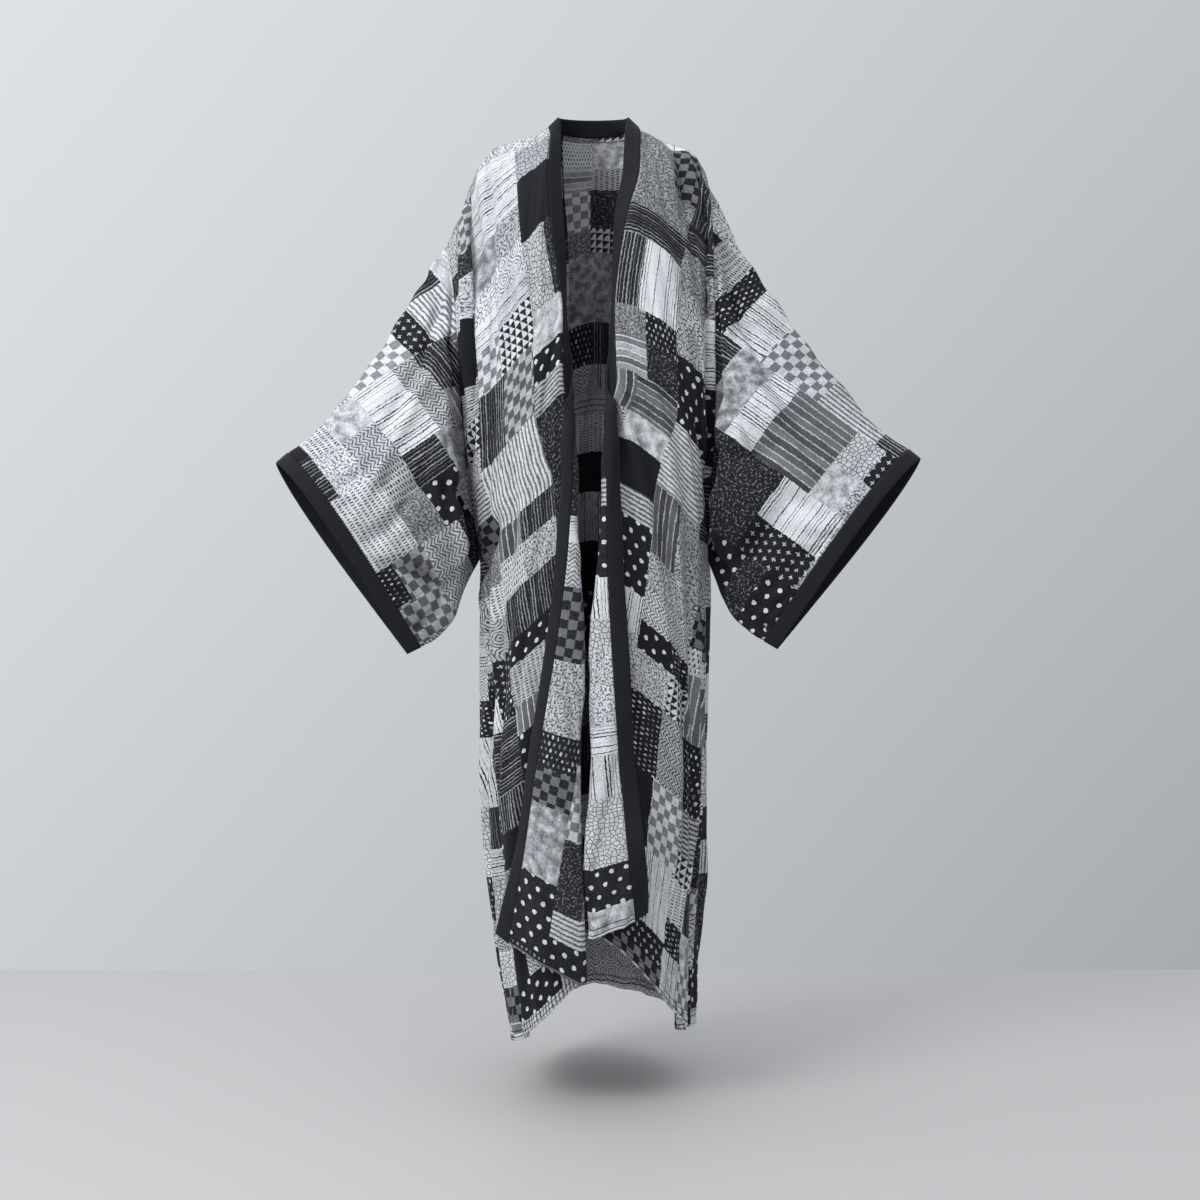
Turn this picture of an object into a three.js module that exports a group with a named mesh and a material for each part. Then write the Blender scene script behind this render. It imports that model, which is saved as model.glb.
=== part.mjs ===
import * as THREE from 'three';

// A long open kimono cardigan in its worn shape. Millimetres, +Z up, the fronts face -Y.
// The origin is the middle of the neck, level with the inner ends of the shoulders.
// "out" is a distance from the middle plane towards one side: -X on the wearer's right, +X on the left.
// "down" runs along a panel, a whole number at each row of its table: 0 is the shoulder, 7 the
// underarm and 12 the hem.

const clothWall = 2;        // thickness of the cloth
const seamGap = 0.3;        // between two sewn pieces
const bandWidth = 25;       // front, neck and cuff bands, finished
const leanRadius = 6;       // soft bend where a front leans in
const curl = 1.3;           // a wrapping flap bends more towards its free edge
const roundness = 2.3;      // exponent of the rounded cross-sections: 2 is an ellipse
const neckOut = 67;         // neck point, where shoulder seam and bands meet
const neckShare = 0.78;     // share of the half back that lies outside the neck point
const underarm = 7;         // row of the underarm
const hem = 12;             // row of the hem
const armholeTop = -195;    // no higher than the shoulder seams' outer ends
const rightSag = 1;         // how much a front's level lines steepen towards the side
const leftSag = 1.5;

const printedCloth = { color: 0x8f8f92, roughness: 0.86, metalness: 0 };
const plainCloth = { color: 0x25272f, roughness: 0.8, metalness: 0 };

function table(names, rows) {
  const columns = names.trim().split(/\s+/);
  return rows.map((row) => Object.fromEntries(columns.map((name, i) => [name, row[i]])));
}

// Fronts, one row for each level. The main layer runs from the armhole or side (out, outY, outZ) to
// the line where it breaks (breakOut, breakY, breakZ). There it leans in towards the body, and then
// rolls outwards through a turn, over itself. The band, the last stretch of it, starts to roll at its
// free edge, and lower down the whole edge of the front is turned back. "beyond" is the cloth past
// the break; what is left of it after the roll wraps on round the body, and rises.
const frontColumns = 'breakZ outZ breakOut out breakY outY lean turn radius beyond wrap rise';
const rightFront = table(frontColumns, [
  [-11, -190, neckOut, 221, 0, 0, 0, 0, 6, 15, 0, 0.95],
  [-33, -212, 68, 216, -26, -18, -48, 0, 6, 22, 0, 0.45],
  [-85, -262, 70, 207, -58, -34, -48, 0, 6, 25, 0, 0.15],
  [-175, -345, 65.5, 199, -90, -44, -42, 0, 6, 25, 0, 0.05],
  [-305, -450, 49.3, 191, -112, -40, -82, 30, 6, 25, 0, 0],
  [-400, -545, 48.4, 184, -122, -28, -69, 169, 4.4, 26.4, 0, 0],
  [-470, -610, 40.4, 177, -127, -14, -22, 240, 8.6, 37.6, -45, 0],
  [-535, -655, 32.3, 170, -130, 0, 10, 272, 10.9, 50.4, -41, 0.02],
  [-665, -795, 29, 171, -138, 4, 0, 152, 9.8, 63, 121, 0.1],
  [-810, -935, 24, 171, -144, 8, 0, 156, 10.2, 87, 102, 0.2],
  [-955, -1078, 26, 166, -148, 12, 0, 161, 10.5, 109, 92, 0.32],
  [-1105, -1222, 23, 149, -150, 14, 0, 170, 10.1, 132, 79, 0.45],
  [-1259, -1374, 19, 124, -150, 16, 0, 172, 10.4, 156, 43, 0.55],
]);
const leftFront = table(frontColumns, [
  [-11, -88, neckOut, 169, 0, 0, 0, 0, 6, 15, 0, 0.95],
  [-33, -112, 72, 173, -26, -24, -6, 0, 6, 24, 0, 0.5],
  [-85, -170, 71, 176, -58, -48, -16, 0, 6, 26, 0, 0.15],
  [-175, -270, 51, 178, -90, -62, -52, 0, 6, 25, 0, 0.05],
  [-305, -395, 37, 179, -112, -60, -84, 45, 6, 25, 0, 0],
  [-400, -505, 39.3, 177, -122, -42, -67, 143, 5.3, 25, 0, 0],
  [-470, -590, 29, 174, -127, -20, -17, 253, 8.8, 42.6, -1, 0],
  [-535, -655, 22, 171, -130, 0, 5, 235, 10, 52, 1, 0.02],
  [-665, -795, 17, 168, -138, 4, 0, 173, 10.1, 60, 61, 0.05],
  [-810, -935, 6.5, 168, -144, 8, 0, 166, 9.6, 76, 36, 0.1],
  [-955, -1078, 3, 163, -148, 12, 0, 176, 9.8, 89, 43, 0.2],
  [-1080, -1222, 2.3, 152, -150, 14, 0, 160, 10, 102, 32, 0.3],
  [-1194, -1363, 2, 146, -150, 16, 0, 175, 9.8, 112, 49, 0.4],
]);

// Back, one row for each level: the middle, the line below the neck point, and the armhole's depth.
const back = table('middleZ middleY neckZ neckY outY', [
  [-14, 48, -11, 0, 0],
  [-38, 62, -34, 25, 17],
  [-90, 78, -86, 54, 33],
  [-182, 94, -178, 82, 46],
  [-312, 106, -312, 98, 48],
  [-410, 113, -410, 104, 36],
  [-480, 118, -480, 108, 15],
  [-535, 122, -535, 112, 0],
  [-675, 134, -675, 122, 4],
  [-840, 152, -840, 140, 8],
  [-1005, 174, -1005, 162, 12],
  [-1175, 200, -1175, 188, 14],
  [-1345, 226, -1345, 214, 16],
]);

// How each shoulder falls from the neck point (0) to the armhole (1): flat, then steep over the arm.
// The garment has slipped to the wearer's right, so that its left armhole lies nearer the neck.
const rightFall = table('at fall', [
  [0, 0], [0.1, 0.05], [0.35, 0.12], [0.55, 0.19], [0.64, 0.29], [0.75, 0.46], [0.86, 0.73], [1, 1],
]);
const leftFall = table('at fall', [
  [0, 0], [0.1, 0.1], [0.33, 0.26], [0.68, 0.42], [0.82, 0.52], [0.93, 0.76], [1, 1],
]);

// Soft folds in the panels. "across" is in mm of cloth from the armhole or side on a front, and from
// the middle on the back (wearer's left positive). Depth is outwards; it grows and fades along "down".
const foldColumns = 'across depth width from full until';
const rightFolds = table(foldColumns, [
  [92, -20, 22, 0.2, 2, 5.5],
  [52, 9, 26, 1.5, 3.5, 7],
  [70, -12, 30, 6.5, 9.5, 13],
  [128, 9, 34, 6.5, 10, 14],
]);
const leftFolds = table(foldColumns, [
  [38, -16, 18, 0.2, 2, 5],
  [44, -12, 22, 3, 4.5, 7.5],
  [40, -13, 26, 7, 10, 14],
  [100, 10, 32, 6.5, 9.5, 14],
]);
const backFolds = table(foldColumns, [
  [-215, -14, 30, 1, 5, 14],
  [-130, -16, 34, 2, 8, 15],
  [-45, -13, 32, 2.5, 9, 15],
  [50, -17, 34, 2, 9, 15],
  [112, -13, 30, 2, 7, 15],
  [178, -14, 26, 1, 5, 14],
  [262, 13, 26, 8, 11, 14],
]);

// Sleeves, one row for each ring past the armhole: its top, its lowest point, and how far the front
// and back layers stand off the line between the two, fullest at the shares frontAt and backAt.
const sleeveColumns = 'topOut topZ topY lowOut lowZ lowY front frontAt back backAt';
const rightSleeve = table(sleeveColumns, [
  [235, -211, -8, 192, -706, -28, 98, 0.6, 84, 0.55],
  [262, -262, -18, 206, -748, -50, 88, 0.52, 76, 0.5],
  [330, -374, -45, 228, -775, -74, 66, 0.42, 62, 0.42],
  [394, -468, -76, 240, -783, -90, 52, 0.36, 50, 0.36],
  [440, -508, -95, 248, -787, -98, 45, 0.33, 42, 0.33],
  [456, -523, -100, 268, -797, -102, 44, 0.32, 40, 0.32],
]);
const leftSleeve = table(sleeveColumns, [
  [208, -172, -4, 184, -695, -24, 92, 0.58, 82, 0.55],
  [268, -273, -18, 201, -737, -50, 87, 0.52, 76, 0.5],
  [342, -376, -45, 223, -762, -74, 66, 0.42, 62, 0.42],
  [410, -468, -76, 236, -772, -90, 52, 0.36, 50, 0.36],
  [455, -503, -95, 246, -778, -98, 45, 0.33, 42, 0.33],
  [471, -517, -100, 266, -790, -102, 44, 0.32, 40, 0.32],
]);

// Steps of the faceted model between one table row and the next.
const rowSteps = [1, 1, 2, 2, 2, 2, 2, 3, 2, 2, 2, 2];
const frontSteps = 18;
const bandSteps = 4;
const backSteps = 10;       // from the armhole or side to the line below the neck point
const neckSteps = 6;        // across the back of the neck
const ringPlaces = [0, 0.5, 1, 1.5, 2, 2.5, 3, 4, 5];
const cuffPlaces = [5, 5.5, 6];

const clamp = THREE.MathUtils.clamp;
const lerp = THREE.MathUtils.lerp;
const smooth = (low, high, value) => THREE.MathUtils.smoothstep(value, low, high);

// Smooth value between points that never overshoots them.
function through(places, values, place) {
  const last = places.length - 1;
  const x = clamp(place, places[0], places[last]);
  let i = 0;
  while (i < last - 1 && x > places[i + 1]) i++;
  const slope = (k) => (values[k + 1] - values[k]) / (places[k + 1] - places[k]);
  const tangent = (k) => {
    if (k === 0) return slope(0);
    if (k === last) return slope(last - 1);
    const before = slope(k - 1);
    const after = slope(k);
    return before * after <= 0 ? 0 : (2 * before * after) / (before + after);
  };
  const width = places[i + 1] - places[i];
  const t = (x - places[i]) / width;
  const rise = values[i + 1] - values[i];
  const start = tangent(i) * width;
  const end = tangent(i + 1) * width;
  return values[i] + t * (start + t * (3 * rise - 2 * start - end + t * (start + end - 2 * rise)));
}

const numbered = (rows) => rows.map((row, i) => i);
const listOf = (rows, name) => rows.map((row) => row[name]);
const between = (rows, name, down) => through(numbered(rows), listOf(rows, name), down);
const fallAt = (falls, share) => through(listOf(falls, 'at'), listOf(falls, 'fall'), share);

// Rounded quarter path from the armhole or side to a point nearer the middle. The shoulder's fall
// gives way further down to an even slope, or with a sag over 1 to one that steepens at the side.
function quarter(from, to, falls, down, sag = 1) {
  const path = [];
  const count = 60;
  for (let i = 0; i <= count; i++) {
    const angle = (i / count) * Math.PI / 2;
    const inward = 1 - Math.cos(angle) ** (2 / roundness);
    const forward = Math.sin(angle) ** (2 / roundness);
    const share = 1 - inward;
    const drop = lerp(fallAt(falls, share), share ** sag, smooth(0, 4, down));
    path.push(new THREE.Vector3(lerp(from.x, to.x, inward), lerp(from.y, to.y, forward),
      lerp(to.z, from.z, drop)));
  }
  return path;
}

function lengths(path) {
  const run = [0];
  for (let i = 1; i < path.length; i++) run.push(run[i - 1] + path[i].distanceTo(path[i - 1]));
  return run;
}

function pointAt(path, run, distance) {
  const d = clamp(distance, 0, run[run.length - 1]);
  let i = 1;
  while (i < run.length - 1 && run[i] < d) i++;
  return path[i - 1].clone().lerp(path[i], (d - run[i - 1]) / (run[i] - run[i - 1] || 1));
}

// Distances along a stretch of a path, closer together where it bends.
function spread(path, run, from, to, steps) {
  const fine = 160;
  const bendPace = 45;      // mm of path that one radian of bend counts for
  const load = [0];
  const points = [];
  for (let i = 0; i <= fine; i++) points.push(pointAt(path, run, lerp(from, to, i / fine)));
  for (let i = 1; i <= fine; i++) {
    const here = points[i].clone().sub(points[i - 1]);
    const next = i < fine ? points[i + 1].clone().sub(points[i]) : here;
    const bend = here.lengthSq() && next.lengthSq() ? here.angleTo(next) : 0;
    load.push(load[i - 1] + (to - from) / fine + bend * bendPace);
  }
  const places = [];
  for (let k = 0, i = 1; k <= steps; k++) {
    const wanted = load[fine] * k / steps;
    while (i < fine && load[i] < wanted) i++;
    const part = (wanted - load[i - 1]) / (load[i] - load[i - 1] || 1);
    places.push(lerp(from, to, (i - 1 + part) / fine));
  }
  return places;
}

// Moves the points of a path sideways by the soft folds that cross this level.
function addFolds(path, folds, down, origin, facing) {
  const run = lengths(path);
  const moved = path.map((point) => point.clone());
  path.forEach((point, i) => {
    const before = path[Math.max(i - 1, 0)];
    const after = path[Math.min(i + 1, path.length - 1)];
    const along = after.clone().sub(before);
    along.z = 0;
    if (along.lengthSq() === 0) return;
    along.normalize();
    const outward = new THREE.Vector3(-along.y, along.x, 0).multiplyScalar(facing);
    for (const fold of folds) {
      const growth = smooth(fold.from, fold.full, down) * (1 - smooth(fold.full, fold.until, down));
      const away = (run[i] - origin - fold.across) / fold.width;
      moved[i].addScaledVector(outward, fold.depth * growth * Math.exp(-away * away));
    }
  });
  return moved;
}

// Whole cross-section of a front: main layer, roll and flap, from the side to the band's free edge.
function frontSection({ rows, folds, falls, sag }, down) {
  const at = (name) => between(rows, name, down);
  const side = new THREE.Vector3(at('out'), at('outY'), at('outZ'));
  const edge = new THREE.Vector3(at('breakOut'), at('breakY'), at('breakZ'));
  const path = addFolds(quarter(side, edge, falls, down, sag), down > 0 ? folds : [], down, 0, 1);
  const [lean, turn, wrap] = ['lean', 'turn', 'wrap'].map((name) => THREE.MathUtils.degToRad(at(name)));
  const beyond = at('beyond');
  const rolled = turn * at('radius');
  const stand = Math.min(Math.max(bandWidth - rolled, 0), beyond);
  const rest = Math.max(beyond - stand - rolled, 0);
  const rise = at('rise');
  let point = path[path.length - 1].clone();
  const run = (steps, length, climb, headingAt) => {
    for (let i = 0; i < steps && length > 0; i++) {
      const heading = headingAt((i + 0.5) / steps);
      const step = new THREE.Vector3(-Math.cos(heading), -Math.sin(heading), climb);
      point = point.clone().addScaledVector(step, length / steps);
      path.push(point);
    }
  };
  run(12, Math.abs(lean) * leanRadius, 0, (share) => lean * share);
  run(12, stand, rise, () => lean);
  run(36, rolled, 0, (share) => lean + turn * share);
  run(36, rest, rise, (share) => lean + turn + wrap * share ** curl);
  const away = lengths(path);
  const whole = away[away.length - 1];
  return { path, run: away, whole, seamAt: whole - Math.min(bandWidth, beyond * Math.hypot(1, rise)) };
}

// Half of the back's cross-section, from the side to the middle, at even shares of its length.
function backSection({ rows, falls, side }, down) {
  const at = (name) => between(back, name, down);
  const outY = down < underarm ? at('outY') : between(rows, 'outY', down);
  const outer = new THREE.Vector3(between(rows, 'out', down), outY, between(rows, 'outZ', down));
  const neck = new THREE.Vector3(neckOut, at('neckY'), at('neckZ'));
  const middle = new THREE.Vector3(0, at('middleY'), at('middleZ'));
  const shoulder = quarter(outer, neck, falls, down);
  const collar = quarter(neck, middle, falls, hem);
  const ring = quarter(outer, middle, falls, down);
  const weight = smooth(-0.4, 3, down) * (down > 0 ? 1 : 0);
  const shoulderRun = lengths(shoulder);
  const collarRun = lengths(collar);
  const ringRun = lengths(ring);
  const path = [];
  const count = 100;
  for (let i = 0; i <= count; i++) {
    const share = i / count;
    const seam = share < neckShare
      ? pointAt(shoulder, shoulderRun, shoulderRun[shoulderRun.length - 1] * share / neckShare)
      : pointAt(collar, collarRun, collarRun[collarRun.length - 1] * (share - neckShare) / (1 - neckShare));
    path.push(seam.lerp(pointAt(ring, ringRun, ringRun[ringRun.length - 1] * share), weight));
  }
  const folds = backFolds.map((fold) => ({ ...fold, across: -side * fold.across }));
  const run = lengths(path);
  const folded = down > 0 ? addFolds(path, folds, down, run[count], -1) : path;
  return { path: folded, run: lengths(folded) };
}

const rowPlaces = [0];
rowSteps.forEach((steps, row) => {
  for (let i = 1; i <= steps; i++) rowPlaces.push(row + i / steps);
});
const armRows = rowPlaces.filter((down) => down <= underarm).length;

const rightHalf = { rows: rightFront, folds: rightFolds, falls: rightFall, sag: rightSag, side: -1 };
const leftHalf = { rows: leftFront, folds: leftFolds, falls: leftFall, sag: leftSag, side: 1 };

const setSide = (point, side) => new THREE.Vector3(point.x * side, point.y, point.z);

// Each piece is a grid of points: rows of the mesh, and the points in a row.
function frontGrids(half) {
  const panel = [];
  const band = [];
  for (const down of rowPlaces) {
    const { path, run, whole, seamAt } = frontSection(half, down);
    const place = (distance) => setSide(pointAt(path, run, distance), half.side);
    panel.push(spread(path, run, 0, seamAt, frontSteps).map(place));
    band.push(spread(path, run, seamAt, whole, bandSteps).map(place));
  }
  return { panel, band };
}

function backGrid() {
  return rowPlaces.map((down) => {
    const across = (half) => {
      const { path, run } = backSection(half, down);
      const whole = run[run.length - 1];
      const outer = spread(path, run, 0, whole * neckShare, backSteps);
      const inner = [];
      for (let i = 1; i <= neckSteps / 2; i++) {
        inner.push(whole * lerp(neckShare, 1, 2 * i / neckSteps));
      }
      return [...outer, ...inner].map((distance) => setSide(pointAt(path, run, distance), half.side));
    };
    return [...across(rightHalf), ...across(leftHalf).reverse().slice(1)];
  });
}

// Rings round a sleeve: the front layer from the shoulder down, then the back layer up again.
function sleeveRings(rows, frontEdge, backEdge, side, places) {
  const armhole = [...frontEdge, ...backEdge.slice(1, -1).reverse()];
  const shares = (edge) => {
    const run = lengths(edge);
    return run.map((distance) => distance / run[run.length - 1]);
  };
  const frontShares = shares(frontEdge);
  const backShares = shares(backEdge);
  const rings = rows.map((row) => {
    const top = new THREE.Vector3(row.topOut * side, row.topY, row.topZ);
    const low = new THREE.Vector3(row.lowOut * side, row.lowY, row.lowZ);
    const lean = -row.topY / 255;
    const forward = new THREE.Vector3(-side * lean, -1, 0).normalize();
    const layer = (share, depth, at) => {
      const bulge = Math.sin(Math.PI * share ** (Math.log(0.5) / Math.log(at)));
      return top.clone().lerp(low, share).addScaledVector(forward, depth * Math.max(bulge, 0));
    };
    return [...frontShares.map((share) => layer(share, row.front, row.frontAt)),
      ...backShares.slice(1, -1).reverse().map((share) => layer(share, -row.back, row.backAt))];
  });
  const all = [armhole, ...rings];
  const stations = all.map((ring, i) => i);
  return places.map((place) => armhole.map((point, i) => {
    const axis = (name) => through(stations, all.map((ring) => ring[i][name]), place);
    return new THREE.Vector3(axis('x'), axis('y'), axis('z'));
  }));
}

// Band that stands round the back of the neck, between the top ends of the front bands.
function neckGrid(neckEdge, rightEnd, leftEnd) {
  const last = neckEdge.length - 1;
  return neckEdge.map((foot, i) => {
    const angle = Math.PI * i / last;
    const rightTop = rightEnd[bandSteps];
    const leftTop = leftEnd[bandSteps];
    const middle = (rightTop.x + leftTop.x) / 2;
    const reach = (leftTop.x - rightTop.x) / 2;
    const top = new THREE.Vector3(middle - reach * Math.cos(angle), 36 * Math.sin(angle),
      rightTop.z + 6 * Math.sin(angle));
    const column = [];
    for (let k = 0; k <= bandSteps; k++) {
      if (i === 0) column.push(rightEnd[k].clone());
      else if (i === last) column.push(leftEnd[k].clone());
      else column.push(foot.clone().lerp(top, k / bandSteps));
    }
    if (i === 0 || i === last) column[0].z += seamGap;      // clear of the back's corner
    return column;
  });
}

// Outward direction at each point of a grid; "facing" is -1 where rows and columns run the other way.
function directions(grid, facing, ring) {
  return grid.map((row, r) => row.map((point, c) => {
    const count = row.length;
    const left = row[ring ? (c + count - 1) % count : Math.max(c - 1, 0)];
    const right = row[ring ? (c + 1) % count : Math.min(c + 1, count - 1)];
    const above = grid[Math.max(r - 1, 0)][c];
    const below = grid[Math.min(r + 1, grid.length - 1)][c];
    return right.clone().sub(left).cross(below.clone().sub(above)).normalize().multiplyScalar(facing);
  }));
}

const garment = new THREE.Group();
const pieces = [];

function addPiece(name, cloth, grid, facing, ring = false) {
  pieces.push({ name, cloth, grid, facing, ring, normals: directions(grid, facing, ring) });
}

// Pieces that meet at a seam lean their edges the same way, so that their ends lie face to face.
function matchSeams() {
  const shared = new Map();
  const key = (point) => point.toArray().map((value) => Math.round(value * 50)).join();
  const each = (action) => pieces.forEach((piece) => piece.grid.forEach((row, r) =>
    row.forEach((point, c) => action(piece, point, r, c))));
  each((piece, point, r, c) => {
    const name = key(point);
    if (!shared.has(name)) shared.set(name, []);
    shared.get(name).push(piece.normals[r][c]);
  });
  each((piece, point, r, c) => {
    const group = shared.get(key(point));
    if (group.length < 2) return;
    const mean = group.reduce((sum, normal) => sum.add(normal), new THREE.Vector3()).normalize();
    piece.leans ??= new Map();
    piece.leans.set(`${r},${c}`, mean);
  });
  for (const piece of pieces) {
    for (const [place, mean] of piece.leans ?? []) {
      const [r, c] = place.split(',').map(Number);
      piece.normals[r][c] = mean;
    }
  }
}

// The shoulder seams and the top ends of the bands lie in one upright plane, and so do their edges.
function squareShoulders(piece) {
  piece.grid.forEach((row, r) => row.forEach((point, c) => {
    if (Math.abs(point.y) > 0.01 || point.z < armholeTop) return;
    piece.normals[r][c].y = 0;
    piece.normals[r][c].normalize();
  }));
}

// Draws the free and sewn edges in by half a seam gap, along the cloth.
function drawIn(grid, ring) {
  const inset = (edge, inner) => inner.clone().sub(edge).normalize().multiplyScalar(seamGap / 2);
  const last = grid.length - 1;
  const moved = grid.map((row) => row.map((point) => point.clone()));
  grid.forEach((row, r) => row.forEach((point, c) => {
    if (r === 0) moved[r][c].add(inset(point, grid[1][c]));
    if (r === last) moved[r][c].add(inset(point, grid[last - 1][c]));
    if (!ring && c === 0) moved[r][c].add(inset(point, row[1]));
    if (!ring && c === row.length - 1) moved[r][c].add(inset(point, row[c - 1]));
  }));
  return moved;
}

// Closed wall of cloth from a grid: two faces, and a strip along each open edge.
function wallMesh({ name, cloth, grid, normals, facing, ring }) {
  const points = drawIn(grid, ring);
  const rows = points.length;
  const columns = points[0].length;
  const positions = [];
  for (const sign of [1, -1]) {
    points.forEach((row, r) => row.forEach((point, c) => {
      positions.push(...point.clone().addScaledVector(normals[r][c], sign * clothWall / 2).toArray());
    }));
  }
  const under = rows * columns;
  const index = (r, c) => r * columns + (c % columns);
  const faces = [];
  const quad = (a, b, c, d) => {
    if (facing > 0) faces.push(a, c, b, a, d, c);
    else faces.push(a, b, c, a, c, d);
  };
  const across = ring ? columns : columns - 1;
  for (let r = 0; r < rows - 1; r++) {
    for (let c = 0; c < across; c++) {
      const corners = [index(r, c), index(r, c + 1), index(r + 1, c + 1), index(r + 1, c)];
      quad(corners[3], corners[2], corners[1], corners[0]);
      quad(...corners.map((corner) => corner + under));
    }
  }
  const flat = grid.flat();
  const order = (a, b) => flat[a].z - flat[b].z || flat[a].x - flat[b].x;
  const strip = (a, b) => {       // split from the outer face of the higher end, on both sides of a seam
    if (order(a, b) > 0) quad(a, b, b + under, a + under);
    else quad(b, b + under, a + under, a);
  };
  for (let c = 0; c < across; c++) {
    strip(index(0, c), index(0, c + 1));
    strip(index(rows - 1, c + 1), index(rows - 1, c));
  }
  for (let r = 0; r < rows - 1 && !ring; r++) {
    strip(index(r + 1, 0), index(r, 0));
    strip(index(r, columns - 1), index(r + 1, columns - 1));
  }
  const geometry = new THREE.BufferGeometry();
  geometry.setAttribute('position', new THREE.Float32BufferAttribute(positions, 3));
  geometry.setIndex(faces);
  const mesh = new THREE.Mesh(geometry, new THREE.MeshStandardMaterial(cloth));
  mesh.name = name;
  return mesh;
}

function sleeve(rows, panel, backPanel, side, label) {
  const frontEdge = panel.slice(0, armRows).map((row) => row[0]);
  const backEdge = backPanel.slice(0, armRows).map((row) => (side < 0 ? row[0] : row[row.length - 1]));
  const rings = (places) => sleeveRings(rows, frontEdge, backEdge, side, places);
  addPiece(`sleeve_${label}`, printedCloth, rings(ringPlaces), side, true);
  addPiece(`cuff_band_${label}`, plainCloth, rings(cuffPlaces), side, true);
}

const right = frontGrids(rightHalf);
const left = frontGrids(leftHalf);
const backPanel = backGrid();
addPiece('front_right', printedCloth, right.panel, -1);
addPiece('front_left', printedCloth, left.panel, 1);
addPiece('back', printedCloth, backPanel, 1);
sleeve(rightSleeve, right.panel, backPanel, -1, 'right');
sleeve(leftSleeve, left.panel, backPanel, 1, 'left');
addPiece('band_right', plainCloth, right.band, -1);
addPiece('band_left', plainCloth, left.band, 1);
const neckEdge = backPanel[0].slice(backSteps, backSteps + neckSteps + 1);
addPiece('band_neck', plainCloth, neckGrid(neckEdge, right.band[0], left.band[0]), 1);

matchSeams();
pieces.forEach(squareShoulders);
for (const piece of pieces) garment.add(wallMesh(piece));

export default garment;
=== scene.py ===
import math

import bpy
import numpy as np
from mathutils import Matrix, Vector


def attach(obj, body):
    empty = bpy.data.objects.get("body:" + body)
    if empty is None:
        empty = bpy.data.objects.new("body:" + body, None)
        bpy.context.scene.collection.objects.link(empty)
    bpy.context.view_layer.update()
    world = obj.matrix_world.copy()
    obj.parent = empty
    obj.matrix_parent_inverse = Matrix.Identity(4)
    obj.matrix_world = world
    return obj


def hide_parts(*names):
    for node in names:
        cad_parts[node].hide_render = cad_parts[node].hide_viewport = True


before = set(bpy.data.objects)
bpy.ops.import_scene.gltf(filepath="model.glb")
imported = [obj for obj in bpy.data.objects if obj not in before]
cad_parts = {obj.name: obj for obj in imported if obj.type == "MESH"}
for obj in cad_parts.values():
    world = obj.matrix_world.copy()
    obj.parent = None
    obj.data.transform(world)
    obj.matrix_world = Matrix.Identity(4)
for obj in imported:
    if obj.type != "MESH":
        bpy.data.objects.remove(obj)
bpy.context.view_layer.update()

# A long open kimono cardigan of printed viscose with plain bands, in its worn shape.
# Patterns are in millimetres, as on the cutting table; metre turns them into Blender's metres.
# "out" is a distance from the middle plane, "down" a row of a panel's table: 0 is the shoulder,
# 7 the underarm, 12 the hem. "right" and "left" are the wearer's.

metre = 0.001

cut = {
    "cloth": 1.3,           # printed cloth, with the bulk of its soft hand
    "hemDepth": 13,         # turned-up hem
    "hemCloth": 1.9,        # how thick the hem is
    "bandWidth": 25,
    "bandCloth": 2.6,       # bands are folded double
    "leanRadius": 6,        # soft bend where a front leans in
    "curl": 1.3,            # a wrapping flap bends more towards its free edge
    "roundness": 2.3,
    "neckOut": 67,
    "neckShare": 0.78,      # share of the half back that lies outside the neck point
    "underarm": 7,
    "hem": 12,
    "seamEase": 22,         # folds die away this near to a seam
}

fine = {
    "rows": 290,            # rows of mesh from shoulder to hem
    "front": 96,            # cells across a front
    "band": 8,
    "backSide": 60,         # cells from an armhole to the line below the neck point
    "backNeck": 28,         # cells across the back of the neck
    "round": 104,           # cells down one layer of a sleeve
    "along": 84,            # cells from armhole to cuff band
    "cuff": 7,
}


def table(names, rows):
    return dict(zip(names.split(), np.array(rows, float).T))


def mix(a, b, share):
    return a + (b - a) * share


def smooth(low, high, value):
    t = np.clip((value - low) / (high - low), 0, 1)
    return t * t * (3 - 2 * t)


def through(places, values, place):          # smooth value between points, never past them
    places = np.asarray(places, float)
    values = np.asarray(values, float)
    wide = (-1,) + (1,) * (values.ndim - 1)
    width = np.diff(places).reshape(wide)
    slopes = np.diff(values, axis=0) / width
    product = slopes[:-1] * slopes[1:]
    total = slopes[:-1] + slopes[1:]
    inner = np.where(product > 0, 2 * product / np.where(total == 0, 1, total), 0)
    tangents = np.concatenate([slopes[:1], inner, slopes[-1:]])
    x = np.clip(place, places[0], places[-1])
    i = np.clip(np.searchsorted(places, x, side="right") - 1, 0, len(places) - 2)
    t = (x - places[i]) / (places[i + 1] - places[i])
    if np.ndim(t):
        t = t.reshape(wide)
    rise = values[i + 1] - values[i]
    start = tangents[i] * width[i]
    end = tangents[i + 1] * width[i]
    return values[i] + t * (start + t * (3 * rise - 2 * start - end + t * (start + end - 2 * rise)))


def lengthsOf(path):
    return np.concatenate([[0], np.cumsum(np.linalg.norm(np.diff(path, axis=0), axis=1))])


def pointsAt(path, run, distances):
    return np.stack([np.interp(distances, run, path[:, k]) for k in range(3)], axis=-1)


def spread(path, run, start, end, cells, pace=22):       # closer together where the path bends
    places = np.linspace(start, end, 600)
    points = pointsAt(path, run, places)
    step = np.diff(points, axis=0)
    length = np.linalg.norm(step, axis=1)
    heading = step / np.maximum(length, 1e-9)[:, None]
    bend = np.arccos(np.clip(np.sum(heading[1:] * heading[:-1], axis=1), -1, 1))
    load = np.concatenate([[0], np.cumsum(length + pace * np.append(bend, 0))])
    return np.interp(np.linspace(0, load[-1], cells + 1), load, places)


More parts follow.
